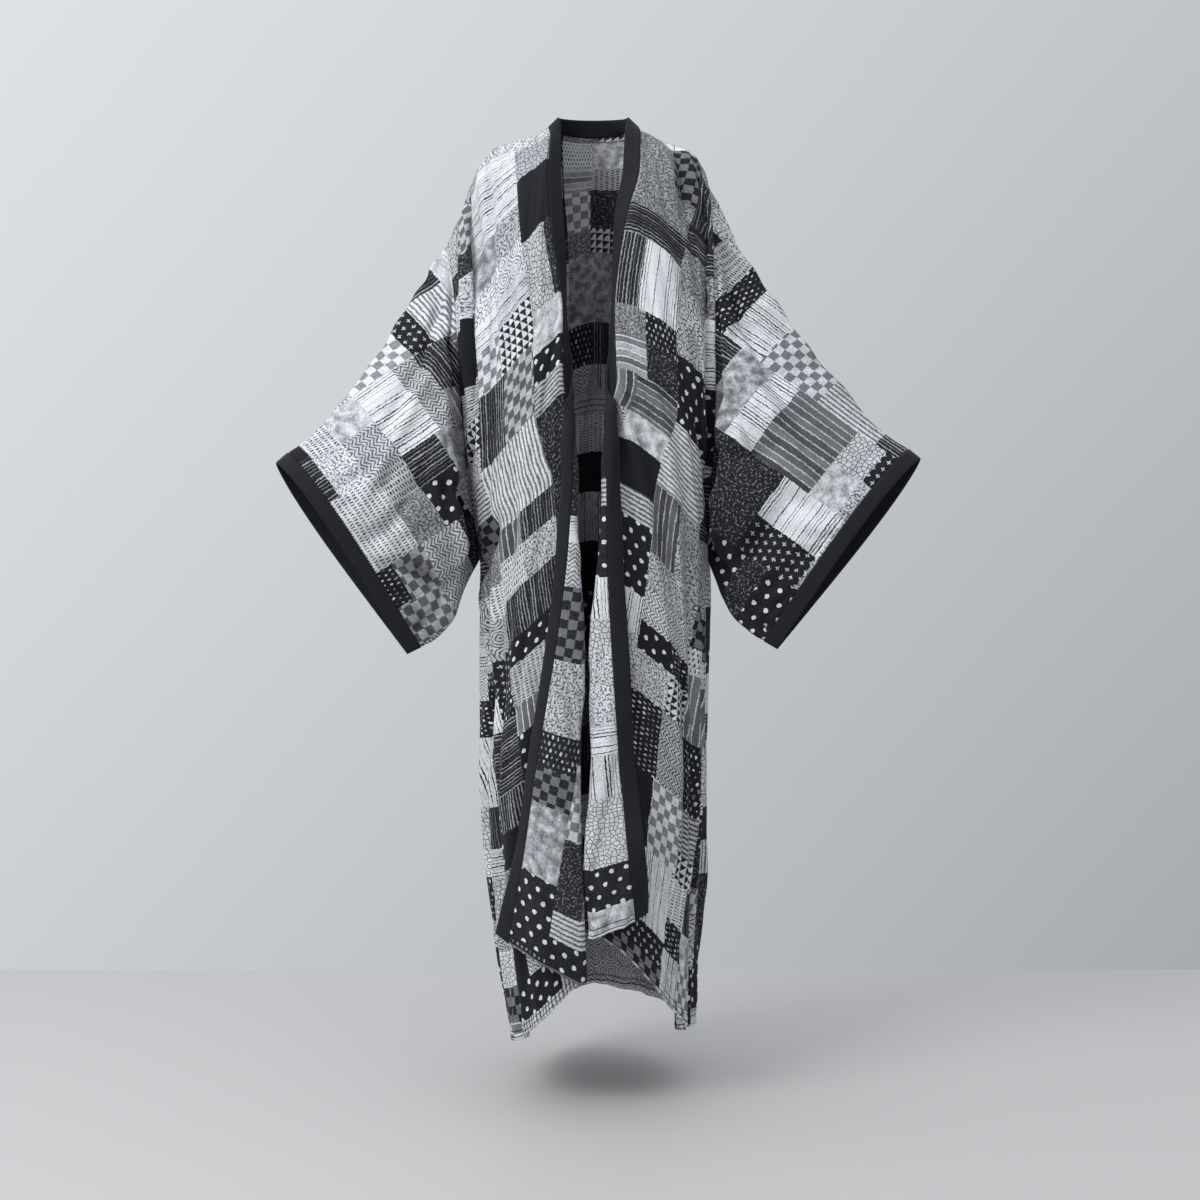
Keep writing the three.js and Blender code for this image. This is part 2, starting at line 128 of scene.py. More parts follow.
frontColumns = "breakZ outZ breakOut out breakY outY lean turn radius beyond wrap rise"
rightFront = table(frontColumns, [
    [-11, -190, 67, 221, 0, 0, 0, 0, 6, 15, 0, 0.95],
    [-33, -212, 68, 216, -26, -18, -48, 0, 6, 22, 0, 0.45],
    [-85, -262, 70, 207, -58, -34, -48, 0, 6, 25, 0, 0.15],
    [-175, -345, 65.5, 199, -90, -44, -42, 0, 6, 25, 0, 0.05],
    [-305, -450, 49.3, 191, -112, -40, -82, 30, 6, 25, 0, 0],
    [-400, -545, 48.4, 184, -122, -28, -69, 169, 4.4, 26.4, 0, 0],
    [-470, -610, 40.4, 177, -127, -14, -22, 240, 8.6, 37.6, -45, 0],
    [-535, -655, 32.3, 170, -130, 0, 10, 272, 10.9, 50.4, -41, 0.02],
    [-665, -795, 29, 171, -138, 4, 0, 152, 9.8, 63, 121, 0.1],
    [-810, -935, 24, 171, -144, 8, 0, 156, 10.2, 87, 102, 0.2],
    [-955, -1078, 26, 166, -148, 12, 0, 161, 10.5, 109, 92, 0.32],
    [-1105, -1222, 23, 149, -150, 14, 0, 170, 10.1, 132, 79, 0.45],
    [-1259, -1374, 19, 124, -150, 16, 0, 172, 10.4, 156, 43, 0.55],
])
leftFront = table(frontColumns, [
    [-11, -88, 67, 169, 0, 0, 0, 0, 6, 15, 0, 0.95],
    [-33, -112, 72, 173, -26, -24, -6, 0, 6, 24, 0, 0.5],
    [-85, -170, 71, 176, -58, -48, -16, 0, 6, 26, 0, 0.15],
    [-175, -270, 51, 178, -90, -62, -52, 0, 6, 25, 0, 0.05],
    [-305, -395, 37, 179, -112, -60, -84, 45, 6, 25, 0, 0],
    [-400, -505, 39.3, 177, -122, -42, -67, 143, 5.3, 25, 0, 0],
    [-470, -590, 29, 174, -127, -20, -17, 253, 8.8, 42.6, -1, 0],
    [-535, -655, 22, 171, -130, 0, 5, 235, 10, 52, 1, 0.02],
    [-665, -795, 17, 168, -138, 4, 0, 173, 10.1, 60, 61, 0.05],
    [-810, -935, 6.5, 168, -144, 8, 0, 166, 9.6, 76, 36, 0.1],
    [-955, -1078, 3, 163, -148, 12, 0, 176, 9.8, 89, 43, 0.2],
    [-1080, -1222, 2.3, 152, -150, 14, 0, 160, 10, 102, 32, 0.3],
    [-1194, -1363, 2, 146, -150, 16, 0, 175, 9.8, 112, 49, 0.4],
])
back = table("middleZ middleY neckZ neckY outY", [
    [-14, 48, -11, 0, 0],
    [-38, 62, -34, 25, 17],
    [-90, 78, -86, 54, 33],
    [-182, 94, -178, 82, 46],
    [-312, 106, -312, 98, 48],
    [-410, 113, -410, 104, 36],
    [-480, 118, -480, 108, 15],
    [-535, 122, -535, 112, 0],
    [-675, 134, -675, 122, 4],
    [-840, 152, -840, 140, 8],
    [-1005, 174, -1005, 162, 12],
    [-1175, 200, -1175, 188, 14],
    [-1345, 226, -1345, 214, 16],
])
rightFall = table("at fall", [
    [0, 0], [0.1, 0.05], [0.35, 0.12], [0.55, 0.19], [0.64, 0.29], [0.75, 0.46], [0.86, 0.73], [1, 1],
])
leftFall = table("at fall", [
    [0, 0], [0.1, 0.1], [0.33, 0.26], [0.68, 0.42], [0.82, 0.52], [0.93, 0.76], [1, 1],
])

# Broad folds, "across" in mm of cloth from the armhole or side, or from the back's middle.
foldColumns = "across depth width from full until"
rightFolds = table(foldColumns, [
    [92, -20, 22, 0.2, 2, 5.5],
    [52, 9, 26, 1.5, 3.5, 7],
    [70, -12, 30, 6.5, 9.5, 13],
    [128, 9, 34, 6.5, 10, 14],
])
leftFolds = table(foldColumns, [
    [38, -16, 18, 0.2, 2, 5],
    [44, -12, 22, 3, 4.5, 7.5],
    [40, -13, 26, 7, 10, 14],
    [100, 10, 32, 6.5, 9.5, 14],
])
backFolds = table(foldColumns, [
    [-215, -14, 30, 1, 5, 14],
    [-130, -16, 34, 2, 8, 15],
    [-45, -13, 32, 2.5, 9, 15],
    [50, -17, 34, 2, 9, 15],
    [112, -13, 30, 2, 7, 15],
    [178, -14, 26, 1, 5, 14],
    [262, 13, 26, 8, 11, 14],
])

rightHalf = {"rows": rightFront, "folds": rightFolds, "falls": rightFall, "sag": 1, "side": -1}
leftHalf = {"rows": leftFront, "folds": leftFolds, "falls": leftFall, "sag": 1.5, "side": 1}
rowNumbers = np.arange(13)
restLengths = np.hypot(np.diff(rightFront["breakZ"]), np.diff(rightFront["breakY"]))
levels = np.interp(np.linspace(0, restLengths.sum(), fine["rows"] + 1),
                   np.append(0, np.cumsum(restLengths)), rowNumbers)
levels = np.sort(np.append(levels, cut["underarm"]))     # a row of mesh lies on the underarm
armLevels = levels <= cut["underarm"]


def quarter(start, end, falls, down, sag=1):             # rounded path from the side towards the middle
    angle = np.linspace(0, math.pi / 2, 260)
    inward = 1 - np.clip(np.cos(angle), 0, 1) ** (2 / cut["roundness"])
    forward = np.sin(angle) ** (2 / cut["roundness"])
    share = 1 - inward
    drop = mix(through(falls["at"], falls["fall"], share), share ** sag, smooth(0, 4, down))
    return np.stack([mix(start[0], end[0], inward), mix(start[1], end[1], forward),
                     mix(end[2], start[2], drop)], axis=1)


def addFolds(path, folds, down, origin, facing, side=1):
    run = lengthsOf(path)
    along = np.gradient(path, axis=0)
    outward = np.stack([-along[:, 1], along[:, 0], np.zeros(len(path))], axis=1)
    outward *= facing / np.maximum(np.linalg.norm(outward, axis=1), 1e-9)[:, None]
    push = np.zeros(len(path))
    for across, depth, width, start, full, until in zip(*folds.values()):
        growth = smooth(start, full, down) * (1 - smooth(full, until, down))
        push += depth * growth * np.exp(-((run - origin - side * across) / width) ** 2)
    return path + outward * (push * smooth(0, cut["seamEase"], run))[:, None]


def frontSection(half, down):
    at = {name: float(through(rowNumbers, values, down)) for name, values in half["rows"].items()}
    side = (at["out"], at["outY"], at["outZ"])
    edge = (at["breakOut"], at["breakY"], at["breakZ"])
    path = quarter(side, edge, half["falls"], down, half["sag"])
    if down > 0:
        path = addFolds(path, half["folds"], down, 0, 1)
    lean, turn, wrap = (math.radians(at[name]) for name in ("lean", "turn", "wrap"))
    beyond, rise = at["beyond"], at["rise"]
    rolled = turn * at["radius"]
    stand = min(max(cut["bandWidth"] - rolled, 0), beyond)
    rest = max(beyond - stand - rolled, 0)
    share = (np.arange(48) + 0.5) / 48
    stretches = [(abs(lean) * cut["leanRadius"], 0, lean * share), (stand, rise, lean + 0 * share),
                 (rolled, 0, lean + turn * share), (rest, rise, lean + turn + wrap * share ** cut["curl"])]
    tail = [np.stack([-np.cos(heading), -np.sin(heading), climb + 0 * heading], axis=1) * length / 48
            for length, climb, heading in stretches if length > 0]
    path = np.concatenate([path, path[-1] + np.cumsum(np.concatenate(tail), axis=0)])
    run = lengthsOf(path)
    return path, run, run[-1] - min(cut["bandWidth"], beyond * math.hypot(1, rise))


def backSection(half, down):
    at = {name: float(through(rowNumbers, values, down)) for name, values in back.items()}
    rows = half["rows"]
    outY = at["outY"] if down < cut["underarm"] else float(through(rowNumbers, rows["outY"], down))
    outer = (float(through(rowNumbers, rows["out"], down)), outY,
             float(through(rowNumbers, rows["outZ"], down)))
    neck = (cut["neckOut"], at["neckY"], at["neckZ"])
    middle = (0, at["middleY"], at["middleZ"])
    parts = [quarter(outer, neck, half["falls"], down), quarter(neck, middle, half["falls"], cut["hem"]),
             quarter(outer, middle, half["falls"], down)]
    runs = [lengthsOf(part) for part in parts]
    share = np.linspace(0, 1, 420)
    neckShare = cut["neckShare"]
    shoulder = pointsAt(parts[0], runs[0], runs[0][-1] * np.minimum(share / neckShare, 1))
    collar = pointsAt(parts[1], runs[1], runs[1][-1] * np.clip((share - neckShare) / (1 - neckShare), 0, 1))
    seam = np.where((share < neckShare)[:, None], shoulder, collar)
    ring = pointsAt(parts[2], runs[2], runs[2][-1] * share)
    weight = float(smooth(-0.4, 3, down)) if down > 0 else 0
    path = mix(seam, ring, weight)
    if down > 0:
        path = addFolds(path, backFolds, down, lengthsOf(path)[-1], -1, -half["side"])
    return path, lengthsOf(path)


def frontGrids(half):
    cloth, band, across, bandAcross = [], [], [], []
    mirror = np.array([half["side"], 1, 1])
    for down in levels:
        path, run, seamAt = frontSection(half, down)
        clothAt = spread(path, run, 0, seamAt, fine["front"])
        bandAt = np.linspace(seamAt, run[-1], fine["band"] + 1)
        cloth.append(pointsAt(path, run, clothAt) * mirror)
        band.append(pointsAt(path, run, bandAt) * mirror)
        across.append(seamAt - clothAt)
        bandAcross.append(bandAt - seamAt)
    return np.array(cloth), np.array(across), np.array(band), np.array(bandAcross)


def backGrid():
    grid, across = [], []
    for down in levels:
        halves = []
        for half in (rightHalf, leftHalf):
            path, run = backSection(half, down)
            side = spread(path, run, 0, run[-1] * cut["neckShare"], fine["backSide"])
            neck = np.linspace(run[-1] * cut["neckShare"], run[-1], fine["backNeck"] // 2 + 1)[1:]
            places = np.append(side, neck)
            halves.append((pointsAt(path, run, places) * (half["side"], 1, 1), run[-1] - places))
        (rightPoints, rightAcross), (leftPoints, leftAcross) = halves
        grid.append(np.concatenate([rightPoints, leftPoints[-2::-1]]))
        across.append(np.concatenate([-rightAcross, leftAcross[-2::-1]]))
    return np.array(grid), np.array(across)


def levelGrain(across, down, grid, rounding=90):          # the print's grain bends softly over the middle
    middle = across.shape[1] // 2
    drop = [(z[middle] - np.interp(rounding, a[middle:], z[middle:])) / rounding
            for a, z in zip(across, grid[:, :, 2])]
    return down + np.array(drop)[:, None] * (np.abs(across) - np.hypot(across, rounding) + rounding)


def downLengths(grid):                                    # length of cloth above each row
    steps = np.linalg.norm(np.diff(grid, axis=0), axis=2)
    return np.append(0, np.cumsum(steps.mean(axis=1)))


sleeveColumns = "topOut topZ topY lowOut lowZ lowY front frontAt back backAt"
rightSleeve = table(sleeveColumns, [
    [235, -211, -8, 192, -706, -28, 98, 0.6, 84, 0.55],
    [262, -262, -18, 206, -748, -50, 88, 0.52, 76, 0.5],
    [330, -374, -45, 228, -775, -74, 66, 0.42, 62, 0.42],
    [394, -468, -76, 240, -783, -90, 52, 0.36, 50, 0.36],
    [440, -508, -95, 248, -787, -98, 45, 0.33, 42, 0.33],
    [456, -523, -100, 268, -797, -102, 44, 0.32, 40, 0.32],
])
leftSleeve = table(sleeveColumns, [
    [208, -172, -4, 184, -695, -24, 92, 0.58, 82, 0.55],
    [268, -273, -18, 201, -737, -50, 87, 0.52, 76, 0.5],
    [342, -376, -45, 223, -762, -74, 66, 0.42, 62, 0.42],
    [410, -468, -76, 236, -772, -90, 52, 0.36, 50, 0.36],
    [455, -503, -95, 246, -778, -98, 45, 0.33, 42, 0.33],
    [471, -517, -100, 266, -790, -102, 44, 0.32, 40, 0.32],
])


def sleeveGrid(rows, frontEdge, backEdge, side, places):
    count = fine["round"]
    shares = np.linspace(0, 1, count + 1)
    edges = []
    for edge in (frontEdge, backEdge):
        run = lengthsOf(edge)
        edges.append(pointsAt(edge, run, run[-1] * shares))
    rings = [np.concatenate([edges[0], edges[1][-2:0:-1]])]
    for ring in zip(*rows.values()):
        row = dict(zip(rows, ring))
        top = np.array([row["topOut"] * side, row["topY"], row["topZ"]])
        low = np.array([row["lowOut"] * side, row["lowY"], row["lowZ"]])
        forward = np.array([side * row["topY"] / 255, -1, 0])
        forward /= np.linalg.norm(forward)
        layers = []
        for depth, at in ((row["front"], row["frontAt"]), (-row["back"], row["backAt"])):
            bulge = np.maximum(np.sin(math.pi * shares ** (math.log(0.5) / math.log(at))), 0)
            layers.append(top + (low - top) * shares[:, None] + forward * (depth * bulge)[:, None])
        rings.append(np.concatenate([layers[0], layers[1][-2:0:-1]]))
    return through(np.arange(len(rings)), np.array(rings), places)


def outwardNormals(grid, facing, ring=False):
    if ring:
        padded = np.concatenate([grid[:, -1:], grid, grid[:, :1]], axis=1)
        acrossStep = padded[:, 2:] - padded[:, :-2]
    else:
        acrossStep = np.gradient(grid, axis=1)
    normals = np.cross(acrossStep, np.gradient(grid, axis=0)) * facing
    return normals / np.maximum(np.linalg.norm(normals, axis=2, keepdims=True), 1e-9)


def creases(a, b, lines):                                 # troughs and ridges along bowed lines
    push = np.zeros_like(a)
    for a0, b0, a1, b1, bow, width, depth in lines:
        length = math.hypot(a1 - a0, b1 - b0)
        along = ((a - a0) * (a1 - a0) + (b - b0) * (b1 - b0)) / length ** 2
        beside = ((a - a0) * (b1 - b0) - (b - b0) * (a1 - a0)) / length
        inside = np.clip(along, 0, 1)
        beside = beside - bow * 4 * inside * (1 - inside)
        fade = smooth(-0.12, 0.3, along) * (1 - smooth(0.7, 1.12, along))
        push += depth * fade * np.exp(-(beside / width) ** 2)
    return push


def hanging(seed, count, across, down, depth):            # uneven creases from above, mostly troughs
    draw = np.random.default_rng(seed)
    lines = []
    for k in range(count):
        a0 = across[0] + (across[1] - across[0]) * (k + draw.uniform(0.15, 0.85)) / count
        b0 = draw.uniform(down[0], down[0] + 0.4 * (down[1] - down[0]))
        b1 = b0 + (down[1] - b0) * draw.uniform(0.35, 1)
        sign = -1 if draw.uniform() < 0.68 else 0.8
        lines.append([a0, b0, a0 + draw.uniform(-14, 14), b1, draw.uniform(-7, 7),
                      draw.uniform(8, 17), sign * depth * draw.uniform(0.45, 1)])
    return lines


def wander(a, b, seed, waveA, waveB, count=14):           # smooth unevenness, the same on every run
    draw = np.random.default_rng(seed)
    total = np.zeros_like(a)
    for k in range(count):
        scale = draw.uniform(0.6, 1.6)
        lean = draw.uniform(-0.5, 0.5)
        phase = draw.uniform(0, 2 * math.pi)
        total += np.sin(2 * math.pi * scale * ((a + lean * b * waveA / waveB) / waveA + b / waveB) + phase)
    return total / math.sqrt(count / 2)


collection = bpy.context.scene.collection


def shellMesh(name, grid, uv, thickness, facing, slots, ring=False, restart=None):
    rows, columns = grid.shape[:2]
    normals = outwardNormals(grid, facing, ring)
    half = (np.broadcast_to(thickness, (rows, columns)) / 2)[:, :, None]
    faceSide, wrongSide = grid + normals * half, grid - normals * half
    points = np.concatenate([faceSide.reshape(-1, 3), wrongSide.reshape(-1, 3)])
    numbers = np.arange(rows * columns).reshape(rows, columns)
    if ring:
        numbers = np.concatenate([numbers, numbers[:, :1]], axis=1)
    quads = np.stack([numbers[:-1, :-1], numbers[:-1, 1:], numbers[1:, 1:], numbers[1:, :-1]], axis=-1)
    quads = quads.reshape(-1, 4)
    near = uv[:, :-1].copy()
    if restart is not None:                               # a seam, where the print starts afresh
        near[:, (uv.shape[1] - 1) // 2] = restart
    cornerUv = np.stack([near[:-1], uv[:-1, 1:], uv[1:, 1:], near[1:]], axis=2).reshape(-1, 4, 2)
    under = rows * columns
    outer, inner = (quads, quads[:, ::-1] + under) if facing > 0 else (quads[:, ::-1], quads + under)
    outerUv, innerUv = (cornerUv, cornerUv[:, ::-1]) if facing > 0 else (cornerUv[:, ::-1], cornerUv)

    def rim(line, lineUv):
        strip = np.stack([line[:-1], line[1:], line[1:] + under, line[:-1] + under], axis=-1)
        stripUv = np.stack([lineUv[:-1], lineUv[1:], lineUv[1:], lineUv[:-1]], axis=1)
        return (strip[:, ::-1], stripUv[:, ::-1]) if facing > 0 else (strip, stripUv)

    rims = [rim(numbers[0], uv[0]), rim(numbers[-1][::-1], uv[-1][::-1])]
    if not ring:
        rims += [rim(numbers[::-1, 0], uv[::-1, 0]), rim(numbers[:, -1], uv[:, -1])]
    faces = np.concatenate([outer, inner] + [r[0] for r in rims])
    allUv = np.concatenate([outerUv, innerUv] + [r[1] for r in rims])
    rimCount = sum(len(r[0]) for r in rims)
    materialOf = np.repeat([0, 1, 0], [len(outer), len(inner), rimCount])
    mesh = bpy.data.meshes.new(name)
    mesh.from_pydata((points * metre).tolist(), [], faces.tolist())
    mesh.uv_layers.new(name="cut").data.foreach_set("uv", (allUv * metre).ravel())
    mesh.polygons.foreach_set("material_index", materialOf.astype(np.int32))
    mesh.polygons.foreach_set("use_smooth", np.ones(len(faces), bool))
    for material in slots:
        mesh.materials.append(material)
    piece = bpy.data.objects.new(name, mesh)
    collection.objects.link(piece)
    return piece


class Wire:                                               # a socket of a shader, used like a number
    def __init__(self, tree, socket):
        self.tree = tree
        self.socket = socket

    def node(self, kind, settings=None, sockets=None, output=0):
        made = self.tree.nodes.new(kind)
        for name, value in (settings or {}).items():
            if name == "stops":
                ramp = made.color_ramp
                for i, (place, colour) in enumerate(value):
                    stop = ramp.elements[i] if i < 2 else ramp.elements.new(place)
                    stop.position = place
                    stop.color = colour
            else:
                setattr(made, name, value)
        for name, value in (sockets or {}).items():
            if isinstance(value, Wire):
                self.tree.links.new(value.socket, made.inputs[name])
            else:
                made.inputs[name].default_value = value
        return Wire(self.tree, made.outputs[output])

    def output(self, number):                             # another output of the same node
        return Wire(self.tree, self.socket.node.outputs[number])

    def into(self, shader, name):
        self.tree.links.new(self.socket, shader.inputs[name])

    def math(self, operation, *others):
        return self.node("ShaderNodeMath", {"operation": operation}, dict(enumerate((self, *others))))

    def __add__(self, other):
        return self.math("ADD", other)

    def __sub__(self, other):
        return self.math("SUBTRACT", other)

    def __rsub__(self, other):
        return self.node("ShaderNodeMath", {"operation": "SUBTRACT"}, {0: other, 1: self})

    def __mul__(self, other):
        return self.math("MULTIPLY", other)

    def __truediv__(self, other):
        return self.math("DIVIDE", other)

    def __lt__(self, other):
        return self.math("LESS_THAN", other)

    def __gt__(self, other):
        return self.math("GREATER_THAN", other)

    __radd__ = __add__
    __rmul__ = __mul__

    def floor(self):
        return self.math("FLOOR")

    def fract(self):
        return self.math("FRACT")

    def size(self):
        return self.math("ABSOLUTE")


clothFinish = {
    "paper": (0.70, 0.71, 0.74, 1),        # lightest cloth
    "grey": (0.18, 0.185, 0.20, 1),
    "ink": (0.0095, 0.0105, 0.0155, 1),    # darkest print
    "wrongSide": 0.04,                     # how much paler the wrong side is
    "patchAcross": 0.118,                  # a patch before it is split, metres
    "patchDown": 0.104,
    "roughness": 0.88,
    "weave": 0.00055,                      # one thread, metres
    "hemStitch": 12.5,                     # mm from the hem's edge
    "rollHighlightWidth": 3.6,                     # mm, the hem's rolled edge, painted paler as a highlight, with a painted shadow line just beyond it
}


def noise(place, scale, detail=2, roughness=0.5):
    return place.node("ShaderNodeTexNoise", {"noise_dimensions": "2D"},
                      {"Vector": place, "Scale": scale, "Detail": detail, "Roughness": roughness})


def patchworkTone(start, cutX, cutY):                     # from 0, ink, to 1, paper
    wobble = start.node("ShaderNodeTexNoise", {"noise_dimensions": "3D"},
                        {"Vector": start, "Scale": 230, "Detail": 2}, 1)
    nudge = start.node("ShaderNodeSeparateColor", {}, {"Color": wobble})
    x = cutX + (nudge - 0.5) * 0.004
    y = cutY + (nudge.output(1) - 0.5) * 0.004

    def hashed(a, b, c=0.0):
        vector = start.node("ShaderNodeCombineXYZ", {}, {"X": a, "Y": b, "Z": c})
        made = start.node("ShaderNodeTexWhiteNoise", {"noise_dimensions": "3D"}, {"Vector": vector}, 1)
        split = start.node("ShaderNodeSeparateColor", {}, {"Color": made})
        return split, split.output(1), split.output(2)

    column = (x / clothFinish["patchAcross"]).floor()
    across = (x / clothFinish["patchAcross"]).fract()
    downward = y / clothFinish["patchDown"] + hashed(column, 3.5)[0] * 5
    row = downward.floor()
    down = downward.fract()
    splitDown, splitAcross, place = hashed(column, row, 0.5)
    lower = (down > place * 0.3 + 0.35) * (splitDown < 0.62)
    later = (across > 0.62 - place * 0.28) * (splitAcross < 0.55)
    kind, ground, turned = hashed(column, row, lower + later * 2 + 4)
    turn = turned > 0.6
    px = (x + (y - x) * turn) * 1000                      # millimetres within the patch
    py = (y + (x - y) * turn) * 1000

    def cell(a, b, wide, high, stagger=0.5):              # staggered cells: local place and numbers
        level = (b / high).floor()
        slide = a / wide + level * stagger
        return (slide.fract() - 0.5) * wide, ((b / high).fract() - 0.5) * high, slide.floor(), level

    def length(a, b):
        return (a * a + b * b).math("SQRT")

    board = (px / 13).floor() + (py / 13).floor()
    checks = board.math("PINGPONG", 1) * 0.40 + 0.42
    checksDeep = board.math("PINGPONG", 1) * 0.34 + 0.03
    ribs = ((py / 7).fract() < 0.42) * -0.5 + 0.86
    lineWidth = hashed((py / 4.6).floor(), 9.5)[0]
    lines = 0.92 - ((py / 4.6).fract() < lineWidth * 0.5 - 0.06) * 0.85
    grainA, grainB, grainC, grainD = cell(px, py, 7.5, 9.5)
    grainRandom = hashed(grainC, grainD, 1.5)
    grains = length(grainA * 1.9, grainB) < 1.2 + grainRandom[0] * 2.2
    grains = grains * (grainRandom[1] * 0.6 + 0.3) + 0.02
    rings = start.node("ShaderNodeTexVoronoi", {"voronoi_dimensions": "2D", "feature": "F1"},
                       {"Vector": start, "Scale": 118, "Randomness": 0.75})
    bubbles = 0.88 - ((rings - 0.40).size() < 0.07) * 0.66
    veins = start.node("ShaderNodeTexVoronoi", {"voronoi_dimensions": "2D", "feature": "DISTANCE_TO_EDGE"},
                       {"Vector": start, "Scale": 150, "Randomness": 0.9})
    crackle = 0.88 - (veins < 0.07) * 0.7
    dashA, dashB = cell(px, py, 4.4, 8.5)[:2]
    dashes = 0.88 - (dashA.size() < 0.85) * (dashB.size() < 2.6) * 0.75
    teeth = ((px / 12).fract() + (py / 12).fract() > 1) * 0.8 + 0.05
    zigzag = ((py + ((px / 15).fract() - 0.5).size() * 15) / 6.4).fract() < 0.42
    zigzag = 0.86 - zigzag * 0.5
    crossA, crossB = cell(px, py, 13, 12)[:2]
    upright = (crossA.size() < 0.75) * (crossB.size() < 3.2)
    level = (crossB.size() < 0.75) * (crossA.size() < 3.2)
    crosses = upright.math("MAXIMUM", level) * 0.7 + 0.03
    dotA, dotB = cell(px, py, 22, 17)[:2]
    pearls = (length(dotA, dotB) < 3.4) * 0.85 + 0.02
    barShade = hashed((px / 11).floor(), 5.5)[1]
    bars = ((px / 11).fract() > 0.16) * (barShade * -0.35 - 0.25) + 0.88
    marl = noise(start, 300, 3)
    speckle = 0.88 - (marl > 0.53) * 0.5
    ash = (marl > 0.5) * 0.34 + 0.22
    coal = (marl > 0.60) * 0.35 + 0.03
    rainWidth = hashed((px / 5.2).floor(), 7.5)[1]
    rain = ((px / 5.2).fract() < rainWidth * 0.42) * 0.5 + 0.04
    clouds = noise(start, 75, 3) * 0.9 + 0.28
    rippleA, rippleB = cell(px, py, 26, 26, 0)[:2]
    ripples = 0.88 - ((length(rippleA, rippleB) / 4.2).fract() < 0.32) * 0.6

    pale = [speckle, lines, bubbles, ribs, checks, crackle, ripples, dashes, bars, zigzag, clouds, lines]
    deep = [grains, pearls, rain, crosses, coal, teeth, grains, pearls, ash, checksDeep, rain, 0.02]
    chance = (column + row).math("PINGPONG", 1) * 0.46 + 0.22            # pale and deep patches take turns
    isDeep = hashed(column, row, lower + later * 2 + 9)[0] < chance
    chosen = (kind * len(pale)).floor() + isDeep * len(pale)
    tone = (ground - 0.78) * 0.3 * (1 - isDeep)
    for i, pattern in enumerate(pale + deep):
        tone = tone + chosen.math("COMPARE", float(i), 0.5) * pattern
    return tone


def clothMaterial(name):                                  # the wire gives places on the cut cloth
    material = bpy.data.materials.new(name)
    material.use_nodes = True
    tree = material.node_tree
    shader = tree.nodes["Principled BSDF"]
    shader.inputs["Specular IOR Level"].default_value = 0.18
    shader.inputs["Sheen Weight"].default_value = 0.04
    uv = tree.nodes.new("ShaderNodeUVMap")
    uv.uv_map = "cut"
    return material, shader, Wire(tree, uv.outputs[0])


def printedCloth(name, shift, wrongSide=False, hemAt=0):  # hemAt: how far down the cloth its hem lies
    material, shader, bare = clothMaterial(name)
    place = bare.node("ShaderNodeVectorMath", {"operation": "ADD"}, {0: bare, 1: (shift[0], shift[1], 0)})
    cutX = place.node("ShaderNodeSeparateXYZ", {}, {"Vector": place})
    cutY = cutX.output(1)
    tone = patchworkTone(place, cutX, cutY)
    grain = noise(place, 900)
    heather = noise(place, 330, 4, 0.7)
    fleck = ((grain - 0.5) * 0.2 + (heather - 0.5) * 0.95) * (tone * 0.8 + 0.16)
    wash = (noise(place, 17) - 0.5) * 0.22 + (noise(place, 60, 3) - 0.5) * 0.42
    tone = tone + fleck + wash * (tone * 0.8 + 0.1)
    if wrongSide:
        tone = tone * (1 - clothFinish["wrongSide"]) + clothFinish["wrongSide"] * 0.7
    if hemAt:
        alongHem = bare.node("ShaderNodeSeparateXYZ", {}, {"Vector": bare})
        fromHem = hemAt - alongHem.output(1) * 1000
        dash = (alongHem * 1000 / 3.4).fract() < 0.7
        stitches = ((fromHem - clothFinish["hemStitch"]).size() < 0.8) * (dash * 0.3 + 0.25)
        # Painted light along the hem: the rolled edge is painted paler as a highlight, and the stitches are
        # dark thread.
        rolled = clothFinish["rollHighlightWidth"]
        # a painted shadow line just beyond the rolled edge, where the hem's fold lies in shade
        paintedRollShadow = (fromHem - rolled - 0.9).size() < 0.9
        tone = tone - stitches + (fromHem < rolled) * 0.3 - paintedRollShadow * 0.5
    stops = [(0.03, clothFinish["ink"]), (0.95, clothFinish["paper"]), (0.45, clothFinish["grey"])]
    colour = tone.node("ShaderNodeValToRGB", {"stops": stops}, {"Fac": tone})
    colour.into(shader, "Base Color")
    (clothFinish["roughness"] - tone * 0.06).into(shader, "Roughness")
    threads = math.pi / clothFinish["weave"]
    weave = (cutX * threads).math("SINE") * (cutY * threads).math("SINE")
    height = weave * 0.5 + grain * 0.8 + heather * 1.2
    bump = height.node("ShaderNodeBump", {}, {"Height": height, "Strength": 0.35, "Distance": 0.0003})
    bump.into(shader, "Normal")
    return material


bandFinish = {
    "colour": (0.0075, 0.0085, 0.013, 1),
    "worn": (0.016, 0.017, 0.024, 1),
    "roughness": 0.84,
    "stitch": 2.6,          # mm from stitch to stitch
    "stitchIn": 2.0,        # mm from the edge
}


